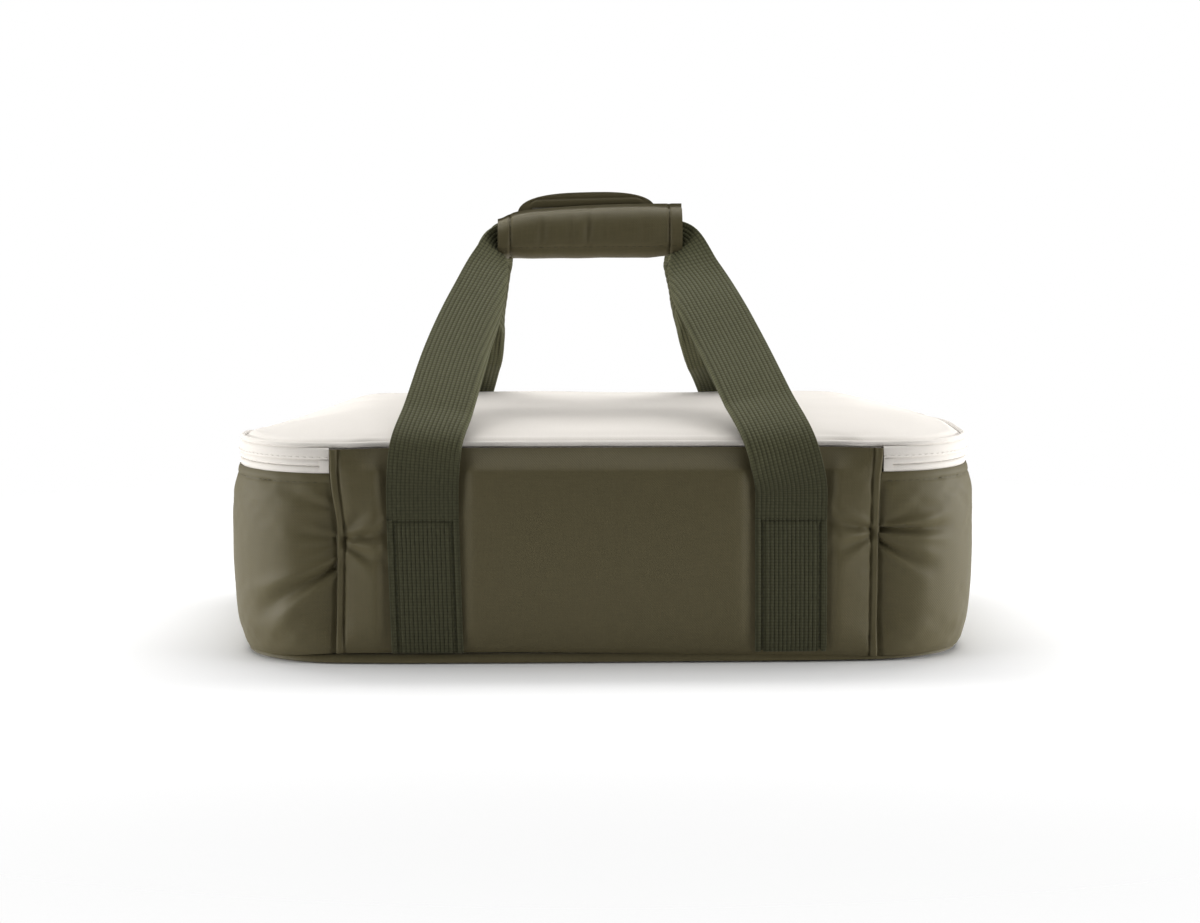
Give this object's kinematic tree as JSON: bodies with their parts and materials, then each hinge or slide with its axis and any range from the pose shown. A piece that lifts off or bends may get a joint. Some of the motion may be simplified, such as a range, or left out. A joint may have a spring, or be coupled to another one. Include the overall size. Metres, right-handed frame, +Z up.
{
  "type": "insulated casserole carrier",
  "caption": "Soft insulated box bag for a baking dish, with a hinged zipped lid and two webbing handles joined by a padded grip wrap.",
  "frame": {"origin": "centre of the base, on the surface that the carrier stands on", "axes": "+X along the carrier's width, +Z up, -Y towards the back, where the lid is hinged, +Y towards the front, where the zip sliders meet"},
  "size_m": [0.3984, 0.2761, 0.2472],
  "materials": {
    "olive_fabric": "coated plain-weave polyester, faint sheen",
    "olive_webbing": "ribbed woven webbing, matte",
    "cream_fabric": "fine woven canvas, matte",
    "cream_coil": "nylon zip coil, satin",
    "foam": "closed-cell foam, matte",
    "board": "stiff plastic board, matte",
    "foil_liner": "metallised film, soft shine",
    "hook_tape": "hook-and-loop pile, matte",
    "nickel": "nickel-plated zinc, satin"
  },
  "bodies": {
    "body": {"back_panel": "olive_fabric", "front_panel": "olive_fabric", "left_end_panel": "olive_fabric", "right_end_panel": "olive_fabric", "back_foam": "foam", "front_foam": "foam", "left_end_foam": "foam", "right_end_foam": "foam", "base_panel": "olive_fabric", "base_board": "board", "base_foam": "foam", "liner_wall": "foil_liner", "liner_floor": "foil_liner", "rim_binding": "olive_fabric", "lower_zip_tape": "cream_fabric", "lower_zip_coil": "cream_coil", "left_zip_stop": "cream_fabric", "right_zip_stop": "cream_fabric", "hinge_binding": "cream_fabric", "back_left_strap": "olive_webbing", "back_right_strap": "olive_webbing", "front_left_strap": "olive_webbing", "front_right_strap": "olive_webbing"},
    "lid": {"lid_cover": "cream_fabric", "lid_foam": "foam", "lid_liner": "foil_liner", "lid_piping": "cream_fabric", "lid_band": "cream_fabric", "upper_zip_tape": "cream_fabric", "upper_zip_coil": "cream_coil"},
    "back_handle": {"back_handle_webbing": "olive_webbing", "grip_pad": "olive_fabric", "grip_loop_tape": "hook_tape"},
    "grip_flap": {"grip_flap": "olive_fabric", "grip_hook_tape": "hook_tape"},
    "front_handle": {"front_handle_webbing": "olive_webbing"},
    "left_slider": {"left_slider": "nickel"},
    "right_slider": {"right_slider": "nickel"},
    "left_pull": {"left_pull": "nickel"},
    "right_pull": {"right_pull": "nickel"}
  },
  "joints": [
    {"name": "lid_hinge", "type": "hinge", "parent": "body", "child": "lid", "pos_m": [0, -0.132, 0.11485], "axis": [1, 0, 0], "range_deg": [0, 180], "deforming": ["front_handle_webbing"]},
    {"name": "back_handle_swing", "type": "hinge", "parent": "body", "child": "back_handle", "pos_m": [0, -0.1351, 0.07765], "axis": [1, 0, 0], "range_deg": [0, 145]},
    {"name": "front_handle_swing", "type": "hinge", "parent": "body", "child": "front_handle", "pos_m": [0, 0.1351, 0.07765], "axis": [-1, 0, 0], "range_deg": [0, 145]},
    {"name": "grip_flap_hinge", "type": "hinge", "parent": "back_handle", "child": "grip_flap", "pos_m": [-0.00566, 0.00415, 0.2095], "axis": [-0.9997, 0, -0.0244], "range_deg": [0, 150]},
    {"name": "left_slider_slide", "type": "slide", "parent": "body", "child": "left_slider", "axis": [-1, 0, 0], "range_m": [0, 0.034]},
    {"name": "right_slider_slide", "type": "slide", "parent": "body", "child": "right_slider", "axis": [1, 0, 0], "range_m": [0, 0.034]},
    {"name": "left_pull_swing", "type": "hinge", "parent": "left_slider", "child": "left_pull", "pos_m": [-0.0085, 0.1339, 0.1057], "axis": [0, 0, -1], "range_deg": [0, 100]},
    {"name": "right_pull_swing", "type": "hinge", "parent": "right_slider", "child": "right_pull", "pos_m": [0.0085, 0.1339, 0.1057], "axis": [0, 0, 1], "range_deg": [0, 100]}
  ],
  "couplings": [
    {"joint": "back_handle_swing", "follows": "lid_hinge", "ratio": 0.8055},
    {"joint": "front_handle_swing", "follows": "lid_hinge", "ratio": 0.8055}
  ]
}
